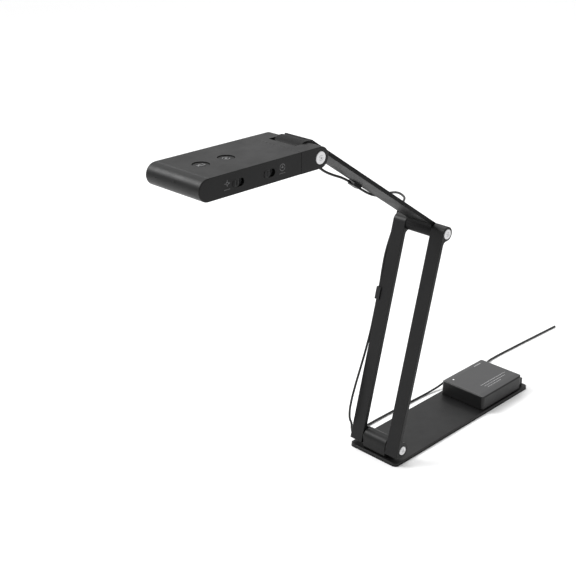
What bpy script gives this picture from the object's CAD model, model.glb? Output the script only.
"""A jointed desk arm with a head, a base and a box joined by cables, on white paper.

+Z is up and the floor is z = 0. The base hinge is near y = 0, the head reaches
towards -Y and the box lies towards +Y. The hinges turn about X, and the camera
looks from +X, -Y. "Near" is the +X side and "far" the -X side.
Sizes and places of marks and cables are in mm, the stage is in metres.
"""
import math
import bpy
import bmesh
from mathutils import Matrix, Vector


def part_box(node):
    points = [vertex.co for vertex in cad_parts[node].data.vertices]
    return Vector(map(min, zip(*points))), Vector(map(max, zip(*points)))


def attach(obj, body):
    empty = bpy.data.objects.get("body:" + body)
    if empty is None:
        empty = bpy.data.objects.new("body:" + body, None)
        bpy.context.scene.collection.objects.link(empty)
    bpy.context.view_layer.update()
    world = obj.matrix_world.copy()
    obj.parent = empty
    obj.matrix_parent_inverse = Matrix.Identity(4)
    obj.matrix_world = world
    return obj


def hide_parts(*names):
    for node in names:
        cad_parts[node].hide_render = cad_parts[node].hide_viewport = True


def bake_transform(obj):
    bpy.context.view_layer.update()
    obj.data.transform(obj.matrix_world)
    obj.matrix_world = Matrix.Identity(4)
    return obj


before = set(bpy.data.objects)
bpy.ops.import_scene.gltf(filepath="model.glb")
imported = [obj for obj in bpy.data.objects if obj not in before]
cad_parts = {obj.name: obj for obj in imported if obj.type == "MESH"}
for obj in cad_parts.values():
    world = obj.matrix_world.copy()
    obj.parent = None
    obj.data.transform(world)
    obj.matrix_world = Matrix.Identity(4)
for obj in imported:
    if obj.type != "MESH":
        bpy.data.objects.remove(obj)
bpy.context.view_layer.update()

MM = 0.001


# ---------------------------------------------------------------- shared helpers
def add_object(name, data):
    obj = bpy.data.objects.new(name, data)
    bpy.context.scene.collection.objects.link(obj)
    return obj


def mesh_object(name, bm, material):
    mesh = bpy.data.meshes.new(name)
    bm.to_mesh(mesh)
    bm.free()
    mesh.materials.append(material)
    return add_object(name, mesh)


def feed(tree, node, inputs):
    """Set inputs by name: a socket is linked, anything else becomes the value."""
    for name, value in inputs.items():
        if isinstance(value, bpy.types.NodeSocket):
            tree.links.new(value, node.inputs[name])
        else:
            node.inputs[name].default_value = value


def add_node(tree, kind, inputs=None):
    node = tree.nodes.new("ShaderNode" + kind)
    feed(tree, node, inputs or {})
    return node


def ramp(tree, source, low, high, start=0.35, end=0.65):
    """Spread source, between start and end, over low to high."""
    return add_node(tree, "MapRange", {
        "Value": source, "From Min": start, "From Max": end,
        "To Min": low, "To Max": high}).outputs["Result"]


def mix_color(tree, factor, first, second):
    mix = add_node(tree, "Mix")
    mix.data_type = "RGBA"
    feed(tree, mix, {"Factor": factor, "A": first, "B": second})
    return mix.outputs["Result"]


# ---------------------------------------------------------------- materials
GLOSS_SCALE = 38.0      # scale of the broad gloss noise
SMOOTHEST = 0.03        # lowest roughness the gloss drift may reach
BOARD_GREEN = (0.012, 0.09, 0.035, 1)

# size is the grain in mm, bump its depth in mm, wear the range of the roughness,
# stretch the scale of the grain along x, y and z
LOOKS = {
    "plastic_black": dict(color=(0.0062, 0.0062, 0.0064), spec=0.19, rough=0.43,
                          size=0.35, bump=0.022, wear=0.10),
    "plastic_dark": dict(color=(0.006, 0.006, 0.0062), spec=0.28, rough=0.48,
                         size=0.4, bump=0.018),
    "plastic_knob": dict(color=(0.008, 0.008, 0.0083), spec=0.35, rough=0.40,
                         size=0.3, bump=0.012),
    "steel_black": dict(color=(0.006, 0.006, 0.0062), spec=0.25, rough=0.44,
                        size=0.25, bump=0.02),
    "rubber_black": dict(color=(0.008, 0.008, 0.008), spec=0.2, rough=0.82,
                         size=0.7, bump=0.05),
    "screw_steel": dict(color=(0.30, 0.30, 0.31), rough=0.34, metal=1.0,
                        size=0.3, bump=0.006, stretch=(1, 6, 6)),
    "pin_steel": dict(color=(0.45, 0.45, 0.46), rough=0.28, metal=1.0,
                      size=0.4, bump=0.004, stretch=(8, 1, 1)),
    "cap_grey": dict(color=(0.70, 0.70, 0.71), rough=0.38, metal=0.35,
                     size=0.5, bump=0.004, stretch=(1, 5, 5)),
    "washer_grey": dict(color=(0.05, 0.05, 0.05), rough=0.5, size=0.4, bump=0.01),
    "bush_bronze": dict(color=(0.40, 0.27, 0.14), rough=0.42, metal=1.0, size=0.2, bump=0.012),
    "cable_black": dict(color=(0.008, 0.008, 0.008), spec=0.35, rough=0.40,
                        size=0.5, bump=0.012, wear=0.14),
    "chip_black": dict(color=(0.020, 0.020, 0.021), rough=0.62, size=0.15, bump=0.01),
    "socket_metal": dict(color=(0.60, 0.60, 0.60), rough=0.26, metal=1.0,
                         size=0.6, bump=0.004, stretch=(1, 6, 1)),
    "light_white": dict(color=(0.86, 0.87, 0.88), rough=0.3, size=0.4, bump=0.004, coat=0.4),
    "sensor_glass": dict(color=(0.02, 0.03, 0.06), rough=0.1, size=0.3, bump=0.001, coat=0.8),
    "lens_glass": dict(color=(0.03, 0.035, 0.06), rough=0.05, size=0.9, bump=0.0005, coat=1.0),
    "window_glass": dict(color=(0.015, 0.015, 0.018), rough=0.06,
                         size=0.9, bump=0.0005, coat=1.0, alpha=0.55),
    "lamp_diffuser": dict(color=(0.80, 0.80, 0.76), rough=0.35, size=0.5, bump=0.02),
    "led_chip": dict(color=(0.85, 0.78, 0.35), rough=0.45, size=0.3, bump=0.006),
}


def surface(material, rough, size, bump, metal=0.0, wear=0.12, stretch=(1, 1, 1),
            alpha=1.0, coat=0.0, spec=0.5):
    """A colourless finish: fine grain in the normal and broad uneven gloss."""
    material.use_nodes = True
    tree = material.node_tree
    tree.nodes.clear()
    place = add_node(tree, "TexCoord").outputs["Object"]
    stretched = add_node(tree, "Mapping", {"Vector": place, "Scale": stretch})
    fine = add_node(tree, "TexNoise", {
        "Vector": stretched.outputs["Vector"], "Scale": 1000.0 / size, "Detail": 3.0})
    broad = add_node(tree, "TexNoise", {
        "Vector": place, "Scale": GLOSS_SCALE, "Detail": 6.0, "Roughness": 0.62})
    relief = add_node(tree, "Bump", {
        "Height": fine.outputs["Fac"], "Strength": 0.6, "Distance": bump * MM})
    gloss = ramp(tree, broad.outputs["Fac"],
                 low=max(SMOOTHEST, rough - wear / 2), high=min(1.0, rough + wear / 2))
    shader = add_node(tree, "BsdfPrincipled", {
        "Normal": relief.outputs["Normal"], "Roughness": gloss, "Metallic": metal,
        "Specular IOR Level": spec, "Alpha": alpha, "Coat Weight": coat})
    add_node(tree, "OutputMaterial", {"Surface": shader.outputs["BSDF"]})
    return tree, shader, fine.outputs["Fac"]


def grain(material, color, spread=0.05, **finish):
    """A finish whose colour drifts by the share spread, following its fine grain."""
    tree, shader, fine = surface(material, **finish)
    drift = mix_color(tree, ramp(tree, fine, low=0, high=1, start=0.3, end=0.7),
                      tuple(c * (1 - spread) for c in color) + (1,),
                      tuple(min(1, c * (1 + spread)) for c in color) + (1,))
    feed(tree, shader, {"Base Color": drift})
    return tree, shader, drift


def board_traces(material):
    """Green board with a fine brick pattern of paler lines."""
    tree, shader, _ = surface(material, rough=0.4, size=0.5, bump=0.004, coat=0.4)
    bricks = add_node(tree, "TexBrick", {
        "Vector": add_node(tree, "TexCoord").outputs["Object"],
        "Scale": 320.0, "Mortar Size": 0.035, "Color1": BOARD_GREEN,
        "Color2": (0.015, 0.11, 0.04, 1), "Mortar": (0.05, 0.22, 0.09, 1)})
    feed(tree, shader, {"Base Color": bricks.outputs["Color"]})


def finish_cad_materials():
    found = {}
    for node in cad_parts.values():
        for slot in node.material_slots:
            if slot.material:
                found[slot.material.name] = slot.material
    finished = {}
    for name, material in found.items():
        base = name.split(".")[0]
        if base == "circuit_board":
            board_traces(material)
        elif base in LOOKS:
            grain(material, **LOOKS[base])
        finished[base] = material
    return finished


def own_skin(piece, suffix, **look):
    """Give a piece its own version of the black plastic."""
    skin = materials["plastic_black"].copy()
    skin.name = "plastic_black_" + suffix
    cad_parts[piece].material_slots[0].material = skin
    return grain(skin, size=0.35, bump=0.022, **look)


def box_skin():
    """The box cover is dark on its sides and lighter on its lid, which faces up."""
    tree, shader, lid_color = own_skin("box_cover", "box", color=(0.050, 0.050, 0.051),
                                       rough=0.40, wear=0.08, spec=0.3)
    facing = add_node(tree, "SeparateXYZ", {
        "Vector": add_node(tree, "TexCoord").outputs["Normal"]})
    lid = ramp(tree, facing.outputs["Z"], low=0.0, high=1.0, start=0.80, end=0.98)
    side_color = (0.0055, 0.0055, 0.0057, 1)
    feed(tree, shader, {"Base Color": mix_color(tree, lid, side_color, lid_color)})


def new_material(name, **look):
    material = bpy.data.materials.new(name)
    grain(material, **look)
    return material


def ink(name, color, rough=0.5):
    return new_material(name, color=color, rough=rough, size=0.2, bump=0.004)


materials = finish_cad_materials()
own_skin("upper_arm", "arm", color=(0.0058, 0.0058, 0.006), rough=0.5, wear=0.10, spec=0.10)
box_skin()
BUTTON_INK = ink("marking_grey", (0.21, 0.21, 0.213))
SIDE_INK = ink("marking_side", (0.11, 0.11, 0.112))
BOX_INK = ink("marking_box", (0.42, 0.42, 0.425))
RING_INK = ink("ring_grey", (0.33, 0.33, 0.335), rough=0.4)


# ---------------------------------------------------------------- small marks
SINK = 0.02             # how far a mark reaches into its surface
X_AXIS, Y_AXIS, Z_AXIS = (1, 0, 0), (0, 1, 0), (0, 0, 1)


def flat_mark(name, loops, origin, right, up, body, material,
              thick=0.04):
    """Thin raised print: closed outlines in the plane of right and up at origin."""
    origin, right, up = Vector(origin), Vector(right), Vector(up)
    outward = right.cross(up).normalized()
    bm = bmesh.new()
    for loop in loops:
        points = [origin + right * x + up * y - outward * SINK for x, y in loop]
        bottom = [bm.verts.new(p * MM) for p in points]
        top = [bm.verts.new((p + outward * (thick + SINK)) * MM) for p in points]
        bm.faces.new(top)
        bm.faces.new(list(reversed(bottom)))
        for i in range(len(loop)):
            j = (i + 1) % len(loop)
            bm.faces.new((bottom[i], bottom[j], top[j], top[i]))
    bmesh.ops.recalc_face_normals(bm, faces=bm.faces)
    mark = mesh_object(name, bm, material)
    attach(mark, body)


def disc(x, y, radius, sides=28):
    turns = [2 * math.pi * i / sides for i in range(sides)]
    return [(x + radius * math.cos(t), y + radius * math.sin(t)) for t in turns]


def bar(x0, y0, x1, y1):
    return [(x0, y0), (x1, y0), (x1, y1), (x0, y1)]


def arc(radius, width, start, end, steps=14):
    """A curved band about the origin, from start to end degrees."""
    turns = [math.radians(start + (end - start) * i / steps) for i in range(steps + 1)]
    outer, inner = radius + width / 2, radius - width / 2
    return ([(outer * math.cos(t), outer * math.sin(t)) for t in turns]
            + [(inner * math.cos(t), inner * math.sin(t)) for t in reversed(turns)])


def rectangle_outline(x0, y0, x1, y1, width):
    return [bar(x0, y0, x1, y0 + width), bar(x0, y1 - width, x1, y1),
            bar(x0, y0 + width, x0 + width, y1 - width),
            bar(x1 - width, y0 + width, x1, y1 - width)]


def box_mm(piece):
    low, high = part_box(piece)
    return low / MM, high / MM, (low + high) / 2 / MM


def button_marks():
    """A rectangle with a triangle on one button, a split ring and dot on the other."""
    signs = {
        "button_front": rectangle_outline(-3.6, -2.0, 1.6, 2.0, width=0.6)
        + [[(1.8, 0.0), (3.6, -1.7), (3.6, 1.7)]],
        "button_rear": [arc(3.0, 0.6, 20, 160), arc(3.0, 0.6, 200, 340), disc(0, 0, 1.1)],
    }
    for button, loops in signs.items():
        _, high, middle = box_mm(button)
        flat_mark("mark_" + button, loops, (middle.x, middle.y, high.z),
                  right=(0, -1, 0), up=X_AXIS, body=button, material=BUTTON_INK)


def head_side_marks():
    """Two signs on the near side of the head, each above a row of dashes."""
    dash_pitch = 1.15
    dashes = [bar(-3.4 + dash_pitch * i, -5.2, -3.4 + dash_pitch * i + width, -4.7)
              for i, width in enumerate((0.8, 0.7, 0.85, 0.6, 0.8, 0.7))]
    rayed_ring = [bar(-0.25, 1.4, 0.25, 2.9), bar(-0.25, -2.6, 0.25, -1.3),
                  bar(-2.9, -0.25, -1.5, 0.25), bar(1.5, -0.25, 2.9, 0.25),
                  arc(1.2, 0.5, 0, 172), arc(1.2, 0.5, 188, 352)]
    ring_and_dot = [arc(2.9, 0.45, 8, 172), arc(2.9, 0.45, 188, 352), disc(0, 0.2, 0.7),
                    bar(-1.7, -0.25, -1.1, 0.25), bar(1.1, -0.25, 1.7, 0.25),
                    bar(-0.25, 1.2, 0.25, 1.9)]
    side = box_mm("head_shell")[1].x
    for end, sign, y, z in (("front", rayed_ring, -232.6, 367.9),
                            ("rear", ring_and_dot, -171.1, 368.0)):
        flat_mark("mark_side_" + end, sign + dashes, (side, y, z),
                  right=Y_AXIS, up=Z_AXIS, body="head", material=SIDE_INK)


def box_marks():
    """Three rows of uneven dashes on the lid's near half, a short row on its far half."""
    row_places = ((12.0, 180.0, 228.0), (16.0, 182.0, 222.0), (19.5, 184.0, 208.0))  # x, y0, y1
    widths = (1.5, 0.9, 2.1, 1.2, 0.7, 1.8)
    gaps = (0.45, 0.45, 0.9)
    half_height = 0.32
    near = []
    for row, (x, y, end) in enumerate(row_places):
        k = row
        while y < end:
            width = widths[k % len(widths)]
            near.append(bar(y, -x - half_height, y + width, -x + half_height))
            y += width + gaps[k % len(gaps)]
            k += 1
    far_pitch = 2.2
    far = [bar(214.0 + far_pitch * i, 21.4, 215.5 + far_pitch * i, 22.6) for i in range(6)]
    lid = box_mm("box_cover")[1].z
    for name, loops in (("mark_box_rows", near), ("mark_box_far", far)):
        flat_mark(name, loops, (0, 0, lid), right=Y_AXIS, up=(-1, 0, 0),
                  body="base", material=BOX_INK)


def hinge_rings():
    """A fine split ring on both ends of each hinge."""
    ring = [arc(2.3, 0.4, 35, 175), arc(2.3, 0.4, 215, 355)]
    for caps, body in (("base_pin_caps", "lower_arm"), ("elbow_pin_caps", "lower_arm"),
                       ("head_pin_caps", "head_neck")):
        low, high, middle = box_mm(caps)
        for side, label, x in ((1, "near", high.x), (-1, "far", low.x)):
            flat_mark("ring_%s_%s" % (caps, label), ring, (x, middle.y, middle.z),
                      right=(0, side, 0), up=Z_AXIS, body=body, material=RING_INK,
                      thick=0.03)


def microphone_opening():
    """A dark dot on the round nose, facing straight out from the nose's axis."""
    axis_y, axis_z = -252.25, 366.58
    outward = Vector((0, -262.36 - axis_y, 369.43 - axis_z)).normalized()
    nose_radius = 10.52
    flat_mark("mic_opening", [disc(0, 0, 0.75, sides=20)],
              Vector((2.7, axis_y, axis_z)) + outward * nose_radius,
              right=X_AXIS, up=outward.cross(Vector(X_AXIS)), body="head",
              material=materials["plastic_dark"], thick=0.03)


button_marks()
head_side_marks()
box_marks()
hinge_rings()
microphone_opening()


# ---------------------------------------------------------------- cables
CABLE_RADIUS = 1.25
CABLE_SIDES = 20
STEPS_PER_SPAN = 8

BASE_HINGE = Vector((0, 10.6, 16.5))
ELBOW = Vector((0, 65.4991, 246.9014))
HEAD_HINGE = Vector((0, -124.9079, 366.5836))
LOWER_TILT = Matrix.Rotation(math.radians(-13.62), 3, "X")
UPPER_TILT = Matrix.Rotation(math.radians(56.35), 3, "X")


def lower(x, y, z):
    """A point given from the base hinge, with z along the lower arm."""
    return BASE_HINGE + LOWER_TILT @ Vector((x, y, z))


def upper(x, y, z):
    """A point given from the elbow, with z along the upper arm."""
    return ELBOW + UPPER_TILT @ Vector((x, y, z))


def head(x, y, z):
    """A point given from the head hinge, along the world axes."""
    return (x, HEAD_HINGE.y + y, HEAD_HINGE.z + z)


def smooth_path(points):
    """A cubic Hermite curve through the points."""
    points = [Vector(p) for p in points]
    spans = [b - a for a, b in zip(points, points[1:])]
    slopes = [spans[0].normalized()]
    for a, b in zip(spans, spans[1:]):
        slopes.append((a * (b.length / a.length) + b * (a.length / b.length)).normalized())
    slopes.append(spans[-1].normalized())
    path = []
    for i, span in enumerate(spans):
        leave, arrive = slopes[i] * span.length, slopes[i + 1] * span.length
        for k in range(STEPS_PER_SPAN):
            u = k / STEPS_PER_SPAN
            path.append(points[i] * (2 * u**3 - 3 * u**2 + 1) + leave * (u**3 - 2 * u**2 + u)
                        + points[i + 1] * (-2 * u**3 + 3 * u**2) + arrive * (u**3 - u**2))
    path.append(points[-1])
    return path


def cable(name, points):
    """A capped round tube whose rings are carried along the path without twist."""
    path = smooth_path(points)
    last = len(path) - 1
    tangents = [(path[min(i + 1, last)] - path[max(i - 1, 0)]).normalized()
                for i in range(last + 1)]
    turns = [2 * math.pi * k / CABLE_SIDES for k in range(CABLE_SIDES)]
    # any direction off the first tangent starts the rings
    side = tangents[0].cross(Vector((0.31, 0.53, 0.79))).normalized()
    bm = bmesh.new()
    rings = []
    for i, (center, tangent) in enumerate(zip(path, tangents)):
        if i:
            side = tangents[i - 1].rotation_difference(tangent) @ side
            side = (side - tangent * side.dot(tangent)).normalized()
        up = tangent.cross(side)
        rings.append([bm.verts.new((center + (side * math.cos(t) + up * math.sin(t))
                                    * CABLE_RADIUS) * MM) for t in turns])
    for ring, following in zip(rings, rings[1:]):
        for k in range(CABLE_SIDES):
            j = (k + 1) % CABLE_SIDES
            face = bm.faces.new((ring[k], ring[j], following[j], following[k]))
            face.smooth = True
    bm.faces.new(list(reversed(rings[0])))
    bm.faces.new(rings[-1])
    bmesh.ops.recalc_face_normals(bm, faces=bm.faces)
    tube = mesh_object(name, bm, materials["cable_black"])
    return tube


# Stations below are x, y, z along each cable.
def foot_lead():
    """From the box along the floor and up the far side of the lower arm."""
    y, z = BASE_HINGE.y, BASE_HINGE.z
    lead = cable("lead_foot", [
        (-27.2, 186.0, 9.6), (-31.0, 186.0, 9.6), (-34.8, 186.0, 9.6), (-36.6, 185.3, 9.3),
        (-39.4, 181.4, 7.6), (-41.6, 170.0, 4.2), (-43.2, 153.0, 2.0), (-44.2, 125.0, 1.55),
        (-45.2, 90.0, 1.5), (-45.4, 60.0, 1.6), (-44.6, 34.0, 2.2), (-43.0, y + 12.5, 4.3),
        (-40.6, y + 3.0, 8.0), (-37.4, y - 2.5, z - 1.0),
        lower(-35.0, -8.0, 7.0), lower(-34.4, -13.0, 13.0), lower(-34.4, -15.8, 22.0),
        lower(-34.4, -16.4, 34.0), lower(-34.4, -15.0, 50.0), lower(-34.4, -12.0, 70.0),
        lower(-34.4, -8.8, 92.0), lower(-34.4, -6.7, 114.0), lower(-34.4, -6.3, 134.0),
        lower(-34.4, -6.3, 157.0)])
    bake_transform(lead)
    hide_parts("cable_floor")


def elbow_lead():
    """From the lower arm round the elbow to the upper arm."""
    lead = cable("lead_elbow", [
        lower(-34.4, -6.3, 156.0), lower(-34.4, -6.3, 165.0), lower(-34.4, -7.3, 182.0),
        lower(-34.4, -7.5, 198.0), lower(-34.4, -5.8, 212.0), lower(-34.8, -2.6, 224.0),
        lower(-36.2, 2.0, 233.0), upper(-37.0, 12.0, -1.0), upper(-33.5, 18.6, 1.5),
        upper(-29.6, 21.8, 7.0), upper(-27.2, 22.6, 15.0), upper(-25.2, 21.6, 27.0),
        upper(-23.2, 17.4, 40.0), upper(-21.0, 10.6, 53.0), upper(-18.8, 5.4, 66.0),
        upper(-17.9, 2.6, 80.0), upper(-17.9, 1.9, 94.0), upper(-17.9, 1.9, 109.0)])
    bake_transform(lead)
    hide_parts("cable_lower")


def head_lead():
    """From the upper arm to the neck of the head."""
    lead = cable("lead_head", [
        upper(-17.9, 1.9, 108.0), upper(-17.9, 1.9, 117.0), upper(-17.8, 0.9, 129.0),
        upper(-17.6, -1.4, 142.0), upper(-17.3, -2.8, 154.0), upper(-16.6, -2.9, 167.0),
        upper(-15.0, -5.0, 184.0), upper(-12.8, -9.0, 202.0), head(-11.7, -12.0, -17.5),
        head(-11.5, -16.8, -14.2), head(-11.5, -18.3, -9.8), head(-11.5, -18.3, -5.8)])
    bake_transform(lead)
    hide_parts("cable_upper", "cable_head_stub")


def output_lead():
    """From the box away over the floor towards +Y."""
    lead = cable("lead_output", [
        (-21.5, 234.2, 10.6), (-21.5, 240.0, 10.6), (-21.7, 245.5, 10.6), (-25.0, 252.0, 9.9),
        (-31.5, 259.0, 7.2), (-37.5, 266.0, 3.8), (-41.0, 275.0, 1.8), (-41.8, 290.0, 1.4),
        (-40.9, 330.0, 1.38), (-39.2, 380.0, 1.38), (-37.6, 423.0, 1.38)])
    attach(lead, "base")
    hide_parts("cable_output")


foot_lead()
elbow_lead()
head_lead()
output_lead()


# ---------------------------------------------------------------- stage, light, camera
def paper_floor(half_width):
    bm = bmesh.new()
    bmesh.ops.create_grid(bm, x_segments=1, y_segments=1, size=half_width)
    paper = new_material("floor_paper", color=(0.90, 0.90, 0.90), rough=0.85,
                         size=2.0, bump=0.01, spread=0.01)
    mesh_object("floor_sheet", bm, paper)


def add_light(name, kind, energy, direction):
    light = bpy.data.lights.new(name, kind)
    light.energy = energy
    obj = add_object(name, light)
    obj.rotation_euler = Vector(direction).to_track_quat("-Z", "Y").to_euler()
    return obj


def area_light(name, place, target, size, power):
    obj = add_light(name, "AREA", power, Vector(target) - Vector(place))
    obj.location = place
    obj.data.shape = "RECTANGLE"
    obj.data.size = obj.data.size_y = size


def sun_light(name, direction, strength, spread):
    add_light(name, "SUN", strength, direction).data.angle = math.radians(spread)


def soft_room(light_level, seen_level):
    """A white world that looks brighter to the camera than the light it gives."""
    world = bpy.data.worlds.new("soft_room")
    world.use_nodes = True
    tree = world.node_tree
    background = tree.nodes["Background"]
    feed(tree, background, {"Color": (1, 1, 1, 1), "Strength": light_level})
    level = add_node(tree, "MapRange", {
        "Value": add_node(tree, "LightPath").outputs["Is Camera Ray"],
        "To Min": light_level, "To Max": seen_level})
    feed(tree, background, {"Strength": level.outputs["Result"]})
    bpy.context.scene.world = world


def photo_camera():
    lens = bpy.data.cameras.new("photo_camera")
    lens.lens = 68.0
    lens.sensor_width = 36.0
    lens.clip_start = 0.01
    camera = add_object("photo_camera", lens)
    right = Vector((0.71081, 0.70338, 0.0041))
    up = Vector((-0.28117, 0.27878, 0.91827))
    backward = Vector((0.64475, -0.65387, 0.39592))
    pose = Matrix((right, up, backward)).transposed().to_4x4()
    pose.translation = Vector((0.64164, -0.78133, 0.63148))
    camera.matrix_world = pose
    bpy.context.scene.camera = camera


paper_floor(half_width=30.0)
sun_light("key_sun", direction=(0.42, -0.30, -1.0), strength=1.5, spread=50)
area_light("back_strip", place=(-1.0, 1.5, 1.1), target=(0, 0.0, 0.25), size=1.4, power=0.8)
area_light("nose_light", place=(-1.0, -0.9, 1.35), target=(0, -0.26, 0.37), size=0.7, power=26)
soft_room(light_level=0.66, seen_level=1.0)
photo_camera()
bpy.context.scene.view_settings.view_transform = "Standard"
